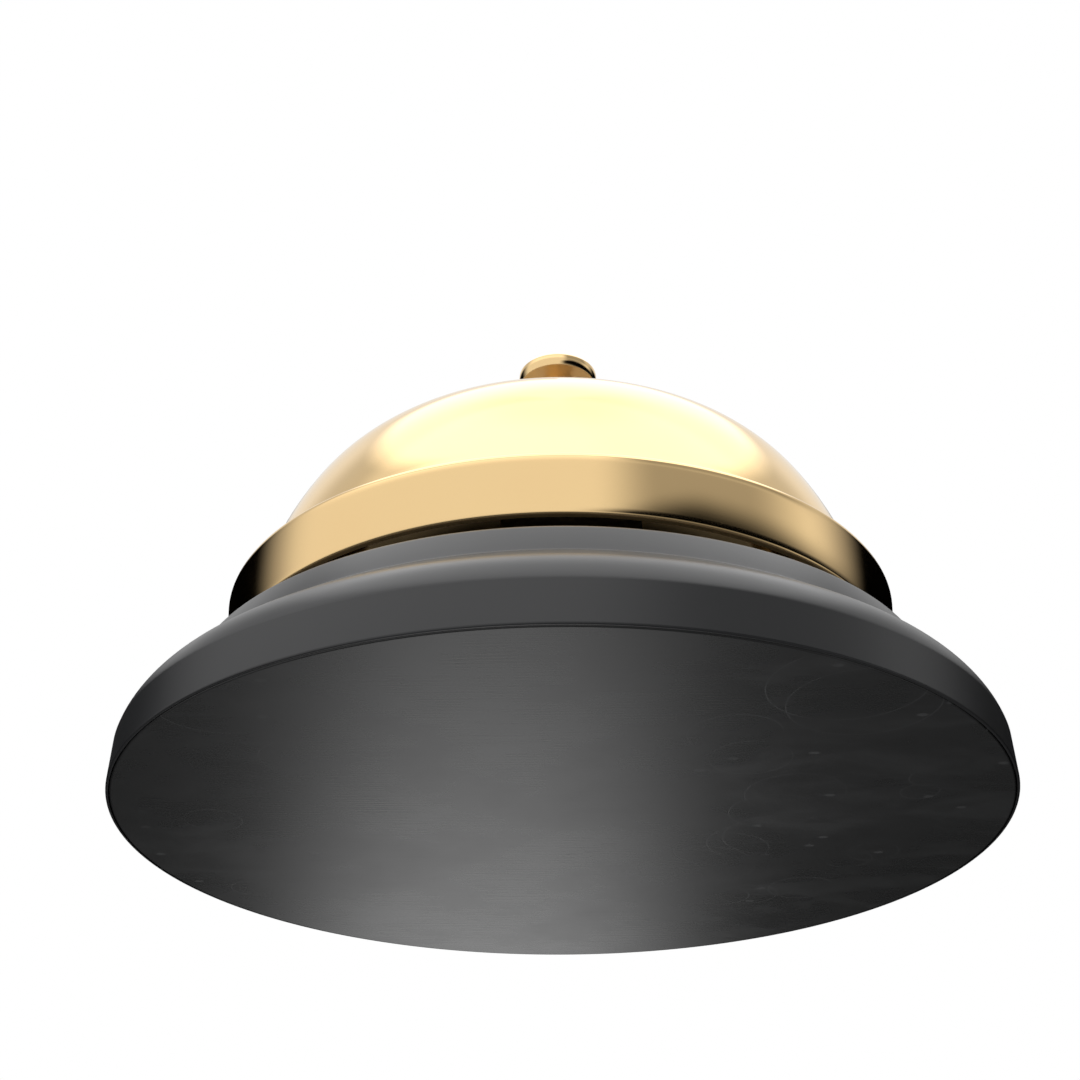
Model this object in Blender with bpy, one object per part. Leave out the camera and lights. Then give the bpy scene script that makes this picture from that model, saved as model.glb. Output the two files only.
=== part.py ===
"""Service bell: a brass gong on a black two-tier base, rung by pressing the button on top.

The button's plunger runs down a hollow post. A cross pin in the plunger works in the slots of a forked
lever, and the hammer on the lever's far end swings up and strikes the gong. A spring returns them.
Metres, +Z up. The origin is the centre of the base's flat underside, and the hammer swings in the XZ plane.
"""

import math

import bmesh
import bpy
from mathutils import Matrix

MM = 0.001
GAP = 0.3 * MM  # left between pieces that touch on the real bell

# Facets round a turned piece, by its size
LARGE = 48
MEDIUM = 24
SMALL = 16

# Base: a pressed dish of two tiers, closed below by a flat plate
BASE_RADIUS = 42.5 * MM
BASE_WALL = 1.6 * MM
EDGE_ROUND = 0.15 * MM
BAND_TOP = 3.9 * MM
BAND_DRAFT = 0.1 * MM
SHOULDER_ROUND = 5.6 * MM
SHOULDER_FROM = 12  # degrees of the surface's normal above the horizontal
SHOULDER_TO = 51.6  # and of the cone from there up to the tier's foot
TIER_BULGE = 26.0 * MM  # radius of the upper tier's face, which is slightly convex
TIER_FROM = 22
TIER_TO = 28
TIER_ROUND = 0.85 * MM
TIER_ROUND_CENTRE = 35.61 * MM
DECK_TOP = 12.35 * MM
DECK_BOTTOM = DECK_TOP - BASE_WALL
LIP_BOTTOM = 0.05 * MM
LIP_THICKNESS = 0.25 * MM
SEAM = 0.12 * MM  # between the lip and the plate inside it
PLATE_THICKNESS = 1.2 * MM
PLATE_RADIUS = BASE_RADIUS - LIP_THICKNESS - SEAM

# Gong: a flared band, a small step, then a dome of three tangent arcs
GONG_WALL = 0.8 * MM
RIM_RADIUS = 32.95 * MM
RIM_BOTTOM = 15.4 * MM
GONG_BAND_RADIUS = 33.6 * MM
GONG_BAND_TOP = 20.6 * MM
GONG_STEP_ROUND = 0.7 * MM
DOME_FOOT_RADIUS = 31.0 * MM
DOME_FOOT = 22.75 * MM
DOME_ARCS = ((78, 60, 32.0 * MM), (60, 25, 16.9 * MM))  # slope at start and end, and radius
CROWN_SEAT_RADIUS = 6.5 * MM

# Plunger and its hollow post, both on the Z axis
ROD_RADIUS = 1.5 * MM
ROD_BOTTOM = 7.9 * MM
ROD_TOP = 54.0 * MM
GROOVE_RADIUS = 1.1 * MM
GROOVE_HEIGHT = 1.2 * MM
POST_RADIUS = 3.0 * MM
POST_BORE = ROD_RADIUS + 0.35 * MM
POST_BOTTOM = 27.9 * MM
POST_TOP = 47.2 * MM
BUTTON_RADIUS = 4.4 * MM
BUTTON_BOTTOM = 53.12 * MM
BUTTON_SIDE = 2.4 * MM  # radius of its side, which flares from a sharp lower edge
BUTTON_SIDE_FROM = -25
BUTTON_SIDE_TO = 5
BUTTON_ROUND = 0.2 * MM  # between its side and its crown
BUTTON_CROWN_FROM = 60

# Hammer lever, level at mid-swing; at rest its forked end is up and its hammer down
PIVOT_X = 5.5 * MM
PIVOT_Z = 23.0 * MM
HALF_SWING = 18.5  # degrees
LINK_RISE = PIVOT_X * math.tan(math.radians(HALF_SWING))
LINK_Z = PIVOT_Z + LINK_RISE
CHEEK_INSIDE = 3.0 * MM
CHEEK_OUTSIDE = 4.0 * MM
LINK_PIN_RADIUS = 0.6 * MM
PIVOT_PIN_RADIUS = 1.25 * MM
PIVOT_HOLE = PIVOT_PIN_RADIUS + 0.35 * MM
ARM_LENGTH = 17.6 * MM  # from the pivot to the hammer's rivet
ARM_HALF_WIDTH = 2.5 * MM
ARM_HALF_THICKNESS = 0.7 * MM
HAMMER_RADIUS = 3.4 * MM
HAMMER_HEIGHT = 5.0 * MM
RIVET_RADIUS = 0.9 * MM

# Frame: a bent strip that stands on the deck and carries the post and the hammer's pivot
SHEET = 1.2 * MM
FRAME_LOW_X = -6.0 * MM
FRAME_HIGH_X = 8.5 * MM
UPRIGHT_Y = 6.4 * MM  # mid-plane of each upright
FOOT_END_Y = 14.5 * MM
BRIDGE_Z = 32.0 * MM
BEND = 1.4 * MM
SCREW_X = (FRAME_LOW_X + FRAME_HIGH_X) / 2
SCREW_Y = 10.9 * MM

# Fasteners: M6 on the post, M3 on the frame's feet
M6_FLATS = 10.0 * MM
M6_NUT_HEIGHT = 2.8 * MM
M6_BORE = POST_RADIUS + GAP
M3_RADIUS = 1.5 * MM
M3_FLATS = 5.5 * MM
M3_NUT_HEIGHT = 2.2 * MM
M3_BORE = M3_RADIUS + GAP
SCREW_HEAD_RADIUS = 2.6 * MM
SCREW_HEAD_HEIGHT = 1.8 * MM
WASHER = 0.8 * MM
CLIP_THICKNESS = 0.6 * MM

# Places that follow from the sizes above
BUSH_HOLE = 3.2 * MM
BUSH_FLANGE_RADIUS = 4.6 * MM
SPRING_SEAT = DECK_TOP + GAP + WASHER  # top of the guide bush's flange
SPRING_LOW = SPRING_SEAT + GAP
SPRING_CLIP = LINK_Z - LINK_PIN_RADIUS - 2 * GAP - GROOVE_HEIGHT + GAP
SPRING_WASHER_RADIUS = 2.6 * MM
SPRING_HIGH = SPRING_CLIP - GAP - WASHER - GAP
SPRING_WIRE = 0.25 * MM  # radius of the wire
SPRING_RADIUS = 2.2 * MM
SPRING_TURNS = 5
SPRING_FLAT_TURNS = 1  # at each end
SPRING_STEPS = 16
STOP_CLIP = DECK_BOTTOM - GAP - CLIP_THICKNESS
STOP_CLIP_RADIUS = 3.2 * MM


def finish(name, color, roughness, metallic):
    """A Principled material."""
    made = bpy.data.materials.new(name)
    made.use_nodes = True
    shader = made.node_tree.nodes["Principled BSDF"]
    shader.inputs["Base Color"].default_value = (*color, 1)
    shader.inputs["Roughness"].default_value = roughness
    shader.inputs["Metallic"].default_value = metallic
    return made


def arc(centre, radius, start, end, steps):
    """Points on an arc about centre, from the start to the end angle in degrees."""
    angles = [math.radians(start + (end - start) * i / steps) for i in range(steps + 1)]
    return [(centre[0] + radius * math.cos(a), centre[1] + radius * math.sin(a)) for a in angles]


def to_mesh(name, shape):
    """Closes off a bmesh: outward faces, smooth shading, sharp edges where it bends by over 30 degrees."""
    bmesh.ops.recalc_face_normals(shape, faces=shape.faces)
    mesh = bpy.data.meshes.new(name)
    shape.to_mesh(mesh)
    shape.free()
    mesh.shade_smooth()
    mesh.set_sharp_from_angle(angle=math.radians(30))
    return mesh


def turned(name, outline, facets):
    """A mesh turned about Z from (radius, height) points. One that starts on the axis stays open there."""
    shape = bmesh.new()
    points = [shape.verts.new((radius, 0, height)) for radius, height in outline]
    edges = [shape.edges.new(pair) for pair in zip(points, points[1:])]
    if outline[0][0] > 0:
        edges.append(shape.edges.new((points[-1], points[0])))
    bmesh.ops.spin(shape, geom=points + edges, axis=(0, 0, 1), angle=math.tau, steps=facets)
    bmesh.ops.remove_doubles(shape, verts=shape.verts, dist=MM / 10000)
    return to_mesh(name, shape)


def tube(name, inner, outer, low, high, facets):
    """A plain ring or sleeve about Z."""
    return turned(name, [(inner, low), (outer, low), (outer, high), (inner, high)], facets)


def rod(name, radius, low, high, facets=SMALL):
    """A plain round bar about Z."""
    return turned(name, [(0, low), (radius, low), (radius, high), (0, high)], facets)


def prism(name, outline, low, high):
    """A mesh extruded along Z from an outline of (x, y)."""
    shape = bmesh.new()
    floor = shape.faces.new([shape.verts.new((x, y, low)) for x, y in outline])
    made = bmesh.ops.extrude_face_region(shape, geom=[floor])["geom"]
    raised = [item for item in made if isinstance(item, bmesh.types.BMVert)]
    bmesh.ops.translate(shape, verts=raised, vec=(0, 0, high - low))
    return to_mesh(name, shape)


def along_y(mesh):
    """Turns a mesh made about Z so that it lies along Y, with its own Y pointing up."""
    mesh.transform(Matrix.Rotation(math.radians(90), 4, "X"))
    return mesh


def place(mesh, material, parent=None, location=(0, 0, 0)):
    """Puts a mesh in the scene as the object of its name."""
    made = bpy.data.objects.new(mesh.name, mesh)
    bpy.context.scene.collection.objects.link(made)
    made.location = location
    made.parent = parent
    if material:
        made.data.materials.append(material)
    return made


def tool(mesh, parent=None, location=(0, 0, 0)):
    """Puts a mesh in the scene as a hidden helper for a Boolean."""
    made = place(mesh, None, parent, location)
    made.hide_render = True
    made.display_type = "WIRE"
    return made


def combine(target, other, operation="DIFFERENCE"):
    """Cuts, joins or intersects target with another object."""
    step = target.modifiers.new(other.name, "BOOLEAN")
    step.operation = operation
    step.object = other


def hex_nut(name, flats, height, bore, material, location):
    """A hexagon nut with turned corners, resting on location, with flats facing along Y."""
    corner = flats / math.sqrt(3)
    made = place(rod(name, corner, 0, height, 6), material, location=location)
    chamfer = corner - flats / 2
    outline = [
        (bore, 0),
        (flats / 2, 0),
        (corner, chamfer / 2),
        (corner, height - chamfer / 2),
        (flats / 2, height),
        (bore, height),
    ]
    combine(made, tool(turned(name + "_turning", outline, MEDIUM), location=location), "INTERSECT")
    return made


def clip(name, hole, outer, material, parent, location):
    """A retaining clip: a C-shaped ring in a groove, open towards +X."""
    mouth = 35
    outline = arc((0, 0), outer, mouth, 360 - mouth, 12) + arc((0, 0), hole, 360 - mouth, mouth, 12)
    return place(prism(name, outline, 0, CLIP_THICKNESS), material, parent, location)


def tangent_centre(point, angle, radius):
    """The centre of the arc of that radius whose point at that angle in degrees is the point given."""
    turn = math.radians(angle)
    return (point[0] - radius * math.cos(turn), point[1] - radius * math.sin(turn))


def base_outline():
    """The dish's section: up its outside from the lip, across the deck, and back down its inside."""
    shoulder = tangent_centre((BASE_RADIUS - BAND_DRAFT, BAND_TOP), SHOULDER_FROM, SHOULDER_ROUND)
    top_round = (TIER_ROUND_CENTRE, DECK_TOP - TIER_ROUND)
    tier = tangent_centre(top_round, TIER_TO, TIER_BULGE - TIER_ROUND)
    face = arc(tier, TIER_BULGE, TIER_FROM, TIER_TO, 2)
    slope = arc(shoulder, SHOULDER_ROUND, SHOULDER_FROM, SHOULDER_TO, 5)
    lip = BASE_RADIUS - LIP_THICKNESS
    inside = BASE_RADIUS - BASE_WALL - BAND_DRAFT
    rebate = PLATE_THICKNESS + GAP
    edge = (BASE_RADIUS - EDGE_ROUND, LIP_BOTTOM + EDGE_ROUND)
    outside = [(lip, LIP_BOTTOM), *arc(edge, EDGE_ROUND, -90, 0, 2), *slope, *face]
    outside += arc(top_round, TIER_ROUND, TIER_TO, 90, 3)[1:]
    return outside + [
        (BUSH_HOLE, DECK_TOP),
        (BUSH_HOLE, DECK_BOTTOM),
        (TIER_ROUND_CENTRE - TIER_ROUND, DECK_BOTTOM),
        (face[0][0] - BASE_WALL, face[0][1] - BASE_WALL),
        (slope[-1][0] - BASE_WALL, slope[-1][1] - BASE_WALL),
        (inside, BAND_TOP - EDGE_ROUND),
        (inside, rebate),
        (lip, rebate),
    ]


def gong_curve():
    """The gong's outer face from its rim to the post's hole, and the height of its flat crown."""
    corner = (GONG_BAND_RADIUS - GONG_STEP_ROUND, GONG_BAND_TOP)
    fillet = (DOME_FOOT_RADIUS + GONG_STEP_ROUND, DOME_FOOT)
    points = [(RIM_RADIUS, RIM_BOTTOM), *arc(corner, GONG_STEP_ROUND, 0, 90, 3)]
    points += arc(fillet, GONG_STEP_ROUND, 250, 192, 2)
    radius, height = points[-1]
    for start, end, bend in DOME_ARCS:
        steps = round((start - end) / 7)
        centre = (
            radius - bend * math.sin(math.radians(start)),
            height - bend * math.cos(math.radians(start)),
        )
        points += arc(centre, bend, 90 - start, 90 - end, steps)[1:]
        radius, height = points[-1]
    slope = DOME_ARCS[-1][1]
    crown = radius / math.sin(math.radians(slope))
    seat = math.degrees(math.asin(CROWN_SEAT_RADIUS / crown))
    centre = (0, height - crown * math.cos(math.radians(slope)))
    points += arc(centre, crown, 90 - slope, 90 - seat, 3)[1:]
    return points + [(M6_BORE, points[-1][1])], points[-1][1]


def inward(points, distance):
    """The curve moved to its inner side by distance, along the mean normal at each point."""
    moved = []
    for i, (radius, height) in enumerate(points):
        before = points[max(i - 1, 0)]
        after = points[min(i + 1, len(points) - 1)]
        run, rise = after[0] - before[0], after[1] - before[1]
        length = math.hypot(run, rise)
        moved.append((radius - distance * rise / length, height + distance * run / length))
    return moved


def gong_outline(curve, crown):
    """The gong's section: its outer face, then its inner face back down to a flat rim."""
    inner = inward(curve, GONG_WALL)
    inner[0] = (RIM_RADIUS - GONG_WALL, RIM_BOTTOM)
    inner[-2:] = [(CROWN_SEAT_RADIUS, crown - GONG_WALL), (M6_BORE, crown - GONG_WALL)]
    return curve + inner[::-1]


def button_outline():
    """The button's section: flat below, a side that flares from a sharp edge, a low crown, and a blind hole."""
    hole = ROD_RADIUS + GAP
    side_centre_z = BUTTON_BOTTOM - BUTTON_SIDE * math.sin(math.radians(BUTTON_SIDE_FROM))
    side_centre = (BUTTON_RADIUS - BUTTON_SIDE, side_centre_z)
    side = arc(side_centre, BUTTON_SIDE, BUTTON_SIDE_FROM, BUTTON_SIDE_TO, 3)
    round_centre = tangent_centre(side[-1], BUTTON_SIDE_TO, BUTTON_ROUND)
    shoulder = arc(round_centre, BUTTON_ROUND, BUTTON_SIDE_TO, BUTTON_CROWN_FROM, 2)
    crown = shoulder[-1][0] / math.cos(math.radians(BUTTON_CROWN_FROM))
    crown_centre = (0, shoulder[-1][1] - crown * math.sin(math.radians(BUTTON_CROWN_FROM)))
    top = arc(crown_centre, crown, BUTTON_CROWN_FROM, 90, 5)
    roof = ROD_TOP + GAP
    outline = [(0, roof), (hole, roof), (hole, BUTTON_BOTTOM), *side, *shoulder[1:], *top[1:-1]]
    return [*outline, (0, top[-1][1])]


def groove(height):
    """The outline points of a clip's groove in the plunger, whose clip rests at height."""
    low, high = height - GAP, height - GAP + GROOVE_HEIGHT
    return [(ROD_RADIUS, low), (GROOVE_RADIUS, low), (GROOVE_RADIUS, high), (ROD_RADIUS, high)]


def make_base(black):
    """The base: the dish with its screw holes, and the plate that closes it."""
    dish = place(turned("base_shell", base_outline(), LARGE), black)
    for name, side in (("front", -1), ("rear", 1)):
        hole = rod("deck_hole_" + name, M3_BORE, DECK_BOTTOM - MM, DECK_TOP + MM)
        combine(dish, tool(hole, location=(SCREW_X, side * SCREW_Y, 0)))
    place(rod("bottom_plate", PLATE_RADIUS, 0, PLATE_THICKNESS, LARGE), black)


def make_frame(zinc):
    """The bent strip: foot, upright, bridge, upright, foot, with holes for screws, post and pivot."""
    foot_z = DECK_TOP + GAP + SHEET / 2
    half = [(UPRIGHT_Y, BRIDGE_Z), (UPRIGHT_Y, foot_z), (FOOT_END_Y, foot_z)]
    line = [(-y, z) for y, z in reversed(half)] + half
    shape = bmesh.new()
    points = [shape.verts.new((FRAME_LOW_X, y, z)) for y, z in line]
    edges = [shape.edges.new(pair) for pair in zip(points, points[1:])]
    made = bmesh.ops.extrude_edge_only(shape, edges=edges)["geom"]
    far = [item for item in made if isinstance(item, bmesh.types.BMVert)]
    bmesh.ops.translate(shape, verts=far, vec=(FRAME_HIGH_X - FRAME_LOW_X, 0, 0))
    bends = [edge for edge in shape.edges if len(edge.link_faces) == 2]
    bmesh.ops.bevel(shape, geom=bends, offset=BEND, segments=3, profile=0.5, affect="EDGES")
    frame = place(to_mesh("mechanism_frame", shape), zinc)
    sheet = frame.modifiers.new("sheet", "SOLIDIFY")
    sheet.thickness = SHEET
    sheet.offset = 0
    sheet.use_even_offset = True
    post_hole = rod("frame_post_hole", M6_BORE, BRIDGE_Z - 2 * MM, BRIDGE_Z + 2 * MM, MEDIUM)
    combine(frame, tool(post_hole))
    pivot_hole = along_y(rod("frame_pivot_hole", PIVOT_HOLE, -10 * MM, 10 * MM))
    combine(frame, tool(pivot_hole, location=(PIVOT_X, 0, PIVOT_Z)))
    for name, side in (("front", -1), ("rear", 1)):
        hole = rod("foot_hole_" + name, M3_BORE, foot_z - 2 * MM, foot_z + 2 * MM)
        combine(frame, tool(hole, location=(SCREW_X, side * SCREW_Y, 0)))


def make_foot_screws(zinc):
    """A slotted screw and a nut for each foot of the frame."""
    under_head = DECK_TOP + 2 * GAP + SHEET
    head_round = SCREW_HEAD_HEIGHT / 2
    nut_bottom = DECK_BOTTOM - GAP - M3_NUT_HEIGHT
    outline = [
        (0, nut_bottom - GAP),
        (M3_RADIUS, nut_bottom - GAP),
        (M3_RADIUS, under_head),
        (SCREW_HEAD_RADIUS, under_head),
        *arc((SCREW_HEAD_RADIUS - head_round, under_head + head_round), head_round, 0, 90, 3),
        (0, under_head + SCREW_HEAD_HEIGHT),
    ]
    slot_half = 0.4 * MM
    reach = 2 * SCREW_HEAD_RADIUS
    slot_outline = [(-reach, -slot_half), (reach, -slot_half), (reach, slot_half), (-reach, slot_half)]
    slot_floor = under_head + head_round
    for name, side in (("front", -1), ("rear", 1)):
        spot = (SCREW_X, side * SCREW_Y, 0)
        screw = place(turned("frame_screw_" + name, outline, SMALL), zinc, location=spot)
        slot = prism("screw_slot_" + name, slot_outline, slot_floor, slot_floor + 2 * MM)
        combine(screw, tool(slot, location=spot))
        nut_spot = (SCREW_X, side * SCREW_Y, nut_bottom)
        hex_nut("frame_nut_" + name, M3_FLATS, M3_NUT_HEIGHT, M3_BORE, zinc, nut_spot)


def make_post(steel, zinc, brass, fibre, crown):
    """The hollow post, its two nuts at the bridge, and the stack that clamps the gong."""
    place(tube("center_post", POST_BORE, POST_RADIUS, POST_BOTTOM, POST_TOP, SMALL), steel)
    bridge_low, bridge_high = BRIDGE_Z - SHEET / 2, BRIDGE_Z + SHEET / 2
    under_gong = crown - GONG_WALL - GAP
    seat_nut = under_gong - WASHER - GAP - M6_NUT_HEIGHT
    heights = {
        "post_lower_nut": bridge_low - GAP - M6_NUT_HEIGHT,
        "post_upper_nut": bridge_high + GAP,
        "gong_seat_nut": seat_nut,
    }
    for name, height in heights.items():
        hex_nut(name, M6_FLATS, M6_NUT_HEIGHT, M6_BORE, zinc, (0, 0, height))
    seat = CROWN_SEAT_RADIUS - GAP
    place(tube("gong_lower_washer", M6_BORE, seat, under_gong - WASHER, under_gong, MEDIUM), fibre)
    washer = crown + GAP
    place(tube("gong_upper_washer", M6_BORE, seat, washer, washer + WASHER, MEDIUM), brass)
    nut_height = POST_TOP + GAP - washer - WASHER - GAP
    hex_nut("gong_top_nut", M6_FLATS, nut_height, M6_BORE, brass, (0, 0, washer + WASHER + GAP))


def make_guide_bush(brass):
    """The flanged bush in the deck that guides the plunger's lower end."""
    bore = ROD_RADIUS + 0.35 * MM
    barrel = BUSH_HOLE - GAP
    flange_low = DECK_TOP + GAP
    outline = [
        (bore, DECK_BOTTOM),
        (barrel, DECK_BOTTOM),
        (barrel, flange_low),
        (BUSH_FLANGE_RADIUS, flange_low),
        (BUSH_FLANGE_RADIUS, SPRING_SEAT),
        (bore, SPRING_SEAT),
    ]
    place(turned("guide_bush", outline, SMALL), brass)


def spring_height(turn):
    """The height of the wire's middle after that many turns: flat at each end, rising evenly between."""
    low, high = SPRING_LOW + SPRING_WIRE, SPRING_HIGH - SPRING_WIRE
    rise = 2.4 * SPRING_WIRE  # one flat turn to the next
    climb = high - low - 2 * rise * SPRING_FLAT_TURNS
    active = SPRING_TURNS - 2 * SPRING_FLAT_TURNS
    below = min(turn, SPRING_FLAT_TURNS)
    above = max(turn - SPRING_TURNS + SPRING_FLAT_TURNS, 0)
    return low + rise * (below + above) + climb * (turn - below - above) / active


def make_spring(steel):
    """The return spring, which stands on the bush's flange."""
    curve = bpy.data.curves.new("return_spring", "CURVE")
    curve.dimensions = "3D"
    curve.bevel_depth = SPRING_WIRE
    curve.bevel_resolution = 1
    curve.use_fill_caps = True
    coil = curve.splines.new("POLY")
    coil.points.add(SPRING_TURNS * SPRING_STEPS)
    for i, point in enumerate(coil.points):
        turn = i / SPRING_STEPS
        angle = math.tau * turn
        point.co = (SPRING_RADIUS * math.cos(angle), SPRING_RADIUS * math.sin(angle), spring_height(turn), 1)
    made = bpy.data.objects.new("return_spring", curve)
    bpy.context.scene.collection.objects.link(made)
    curve.materials.append(steel)


def make_pivot(steel, zinc):
    """The hammer's pivot pin across the frame, its retaining clip, and the sleeves that centre the lever."""
    outer_face = UPRIGHT_Y + SHEET / 2 + GAP
    inner_face = UPRIGHT_Y - SHEET / 2 - GAP
    head = 2.2 * MM
    pin_groove = PIVOT_PIN_RADIUS - 0.35 * MM
    groove_low = outer_face
    groove_high = groove_low + CLIP_THICKNESS + 2 * GAP
    pin_end = groove_high + 0.6 * MM
    outline = [
        (0, -outer_face - MM),
        (head, -outer_face - MM),
        (head, -outer_face),
        (PIVOT_PIN_RADIUS, -outer_face),
        (PIVOT_PIN_RADIUS, groove_low),
        (pin_groove, groove_low),
        (pin_groove, groove_high),
        (PIVOT_PIN_RADIUS, groove_high),
        (PIVOT_PIN_RADIUS, pin_end),
        (0, pin_end),
    ]
    hinge = (PIVOT_X, 0, PIVOT_Z)
    place(along_y(turned("pivot_pin", outline, SMALL)), steel, location=hinge)
    # along_y turns +Z to -Y, so the pin's head is at the rear and its clip at the front
    made = clip("pivot_clip", pin_groove + GAP, head + 0.2 * MM, zinc, None, hinge)
    made.data.transform(Matrix.Translation((0, 0, groove_low + GAP)))
    along_y(made.data)
    for name, side in (("front", -1), ("rear", 1)):
        low, high = sorted((side * (CHEEK_OUTSIDE + GAP), side * inner_face))
        sleeve = tube("pivot_sleeve_" + name, PIVOT_HOLE, head, -high, -low, SMALL)
        place(along_y(sleeve), zinc, location=hinge)


def make_plunger(slide, steel, brass, zinc):
    """Everything that moves with the button: button, plunger, cross pin, clips and spring washer."""
    outline = [
        (0, ROD_BOTTOM),
        (ROD_RADIUS, ROD_BOTTOM),
        *groove(STOP_CLIP),
        *groove(SPRING_CLIP),
        (ROD_RADIUS, ROD_TOP),
        (0, ROD_TOP),
    ]
    plunger = place(turned("plunger_rod", outline, SMALL), brass, slide)
    pin_hole = along_y(rod("plunger_pin_hole", LINK_PIN_RADIUS + GAP, -3 * MM, 3 * MM))
    combine(plunger, tool(pin_hole, slide, (0, 0, LINK_Z)))
    overhang = 0.4 * MM
    reach = CHEEK_OUTSIDE + overhang
    place(along_y(rod("link_pin", LINK_PIN_RADIUS, -reach, reach)), steel, slide, (0, 0, LINK_Z))
    place(turned("button", button_outline(), MEDIUM), brass, slide)
    hole = GROOVE_RADIUS + GAP
    clip("spring_clip", hole, SPRING_WASHER_RADIUS, zinc, slide, (0, 0, SPRING_CLIP))
    clip("stop_clip", hole, STOP_CLIP_RADIUS, zinc, slide, (0, 0, STOP_CLIP))
    low = SPRING_HIGH + GAP
    washer = tube("spring_washer", ROD_RADIUS + GAP, SPRING_WASHER_RADIUS, low, low + WASHER, SMALL)
    place(washer, zinc, slide)


def make_hammer(hinge, zinc, brass, steel):
    """Everything that swings: the forked lever, the hammer on its end and the rivet that holds it."""
    ear = (-PIVOT_X * (1 + 1 / math.cos(math.radians(HALF_SWING))) / 2, 0)
    ear_radius, boss_radius, web_far, web_half = 2.0 * MM, 3.0 * MM, 5.0 * MM, 2.2 * MM
    cheek = arc(ear, ear_radius, 100, 260, 6) + arc((0, 0), boss_radius, 260, 290, 2)
    cheek += [(web_far, -web_half), (web_far, web_half), *arc((0, 0), boss_radius, 70, 100, 2)]
    lever = along_y(prism("hammer_lever", cheek, -CHEEK_OUTSIDE, CHEEK_OUTSIDE))
    lever = place(lever, zinc, hinge)
    web_near = 3.4 * MM
    fork = [(-12 * MM, -CHEEK_INSIDE), (web_near, -CHEEK_INSIDE), (web_near, CHEEK_INSIDE)]
    fork.append((-12 * MM, CHEEK_INSIDE))
    combine(lever, tool(prism("lever_fork", fork, -5 * MM, 5 * MM), hinge))
    tip = arc((ARM_LENGTH, 0), ARM_HALF_WIDTH, -90, 90, 8)
    strip = [(web_far - MM, ARM_HALF_WIDTH), (web_far - MM, -ARM_HALF_WIDTH), *tip]
    arm = tool(prism("lever_arm", strip, -ARM_HALF_THICKNESS, ARM_HALF_THICKNESS), hinge)
    combine(lever, arm, "UNION")
    combine(lever, tool(along_y(rod("lever_pivot_hole", PIVOT_HOLE, -5 * MM, 5 * MM)), hinge))
    slot_round = LINK_PIN_RADIUS + GAP
    slot_reach = 0.3 * MM
    slot = arc((ear[0] - slot_reach, 0), slot_round, 90, 270, 6)
    slot += arc((ear[0] + slot_reach, 0), slot_round, -90, 90, 6)
    combine(lever, tool(along_y(prism("lever_slot", slot, -5 * MM, 5 * MM)), hinge))
    rivet_spot = (ARM_LENGTH, 0, 0)
    hole = RIVET_RADIUS + GAP
    combine(lever, tool(rod("lever_rivet_hole", hole, -2 * MM, 2 * MM), hinge, rivet_spot))
    low = ARM_HALF_THICKNESS + GAP
    high = low + HAMMER_HEIGHT
    edge = MM
    head = [(hole, low), *arc((HAMMER_RADIUS - edge, low + edge), edge, -90, 0, 2)]
    head += [*arc((HAMMER_RADIUS - edge, high - edge), edge, 0, 90, 3), (hole, high)]
    place(turned("hammer_head", head, MEDIUM), brass, hinge, rivet_spot)
    rivet_head = 1.9 * MM
    crown = 0.9 * MM
    under, over = -ARM_HALF_THICKNESS - GAP, high + GAP
    rivet = [
        (0, under - crown),
        (rivet_head * 0.7, under - crown * 0.8),
        (rivet_head, under),
        (RIVET_RADIUS, under),
        (RIVET_RADIUS, over),
        (rivet_head, over),
        (rivet_head * 0.7, over + crown * 0.8),
        (0, over + crown),
    ]
    place(turned("hammer_rivet", rivet, SMALL), steel, hinge, rivet_spot)


def axis_empty(name, location, tilt=0.0):
    """An empty on a joint's axis, which carries the pieces that move on it."""
    made = bpy.data.objects.new(name, None)
    bpy.context.scene.collection.objects.link(made)
    made.location = location
    made.rotation_euler = (0, math.radians(tilt), 0)
    return made


def main():
    for old in list(bpy.data.objects):
        bpy.data.objects.remove(old)
    black = finish("black_paint", (0.028, 0.029, 0.031), 0.38, 0.0)
    brass = finish("polished_brass", (0.87, 0.62, 0.28), 0.18, 1.0)
    steel = finish("bright_steel", (0.62, 0.62, 0.63), 0.28, 1.0)
    zinc = finish("zinc_plate", (0.55, 0.56, 0.58), 0.42, 1.0)
    fibre = finish("red_fibre", (0.30, 0.06, 0.04), 0.75, 0.0)
    slide = axis_empty("plunger_slide", (0, 0, 0))
    hinge = axis_empty("hammer_hinge", (PIVOT_X, 0, PIVOT_Z), HALF_SWING)
    curve, crown = gong_curve()
    make_base(black)
    make_frame(zinc)
    make_foot_screws(zinc)
    make_post(steel, zinc, brass, fibre, crown)
    place(turned("gong", gong_outline(curve, crown), LARGE), brass)
    make_guide_bush(brass)
    make_spring(steel)
    make_pivot(steel, zinc)
    make_plunger(slide, steel, brass, zinc)
    make_hammer(hinge, zinc, brass, steel)


main()
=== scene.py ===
"""Service bell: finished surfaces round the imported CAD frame, in a studio, seen from below.

The turned pieces are made again at high resolution, at their CAD nodes' own sizes. The others keep their CAD
shape, with a bevel. Every material is made of nodes.
Metres, +Z up, with the origin at the centre of the base's underside.
"""

import math

import bmesh
import bpy
from mathutils import Matrix, Vector


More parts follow.
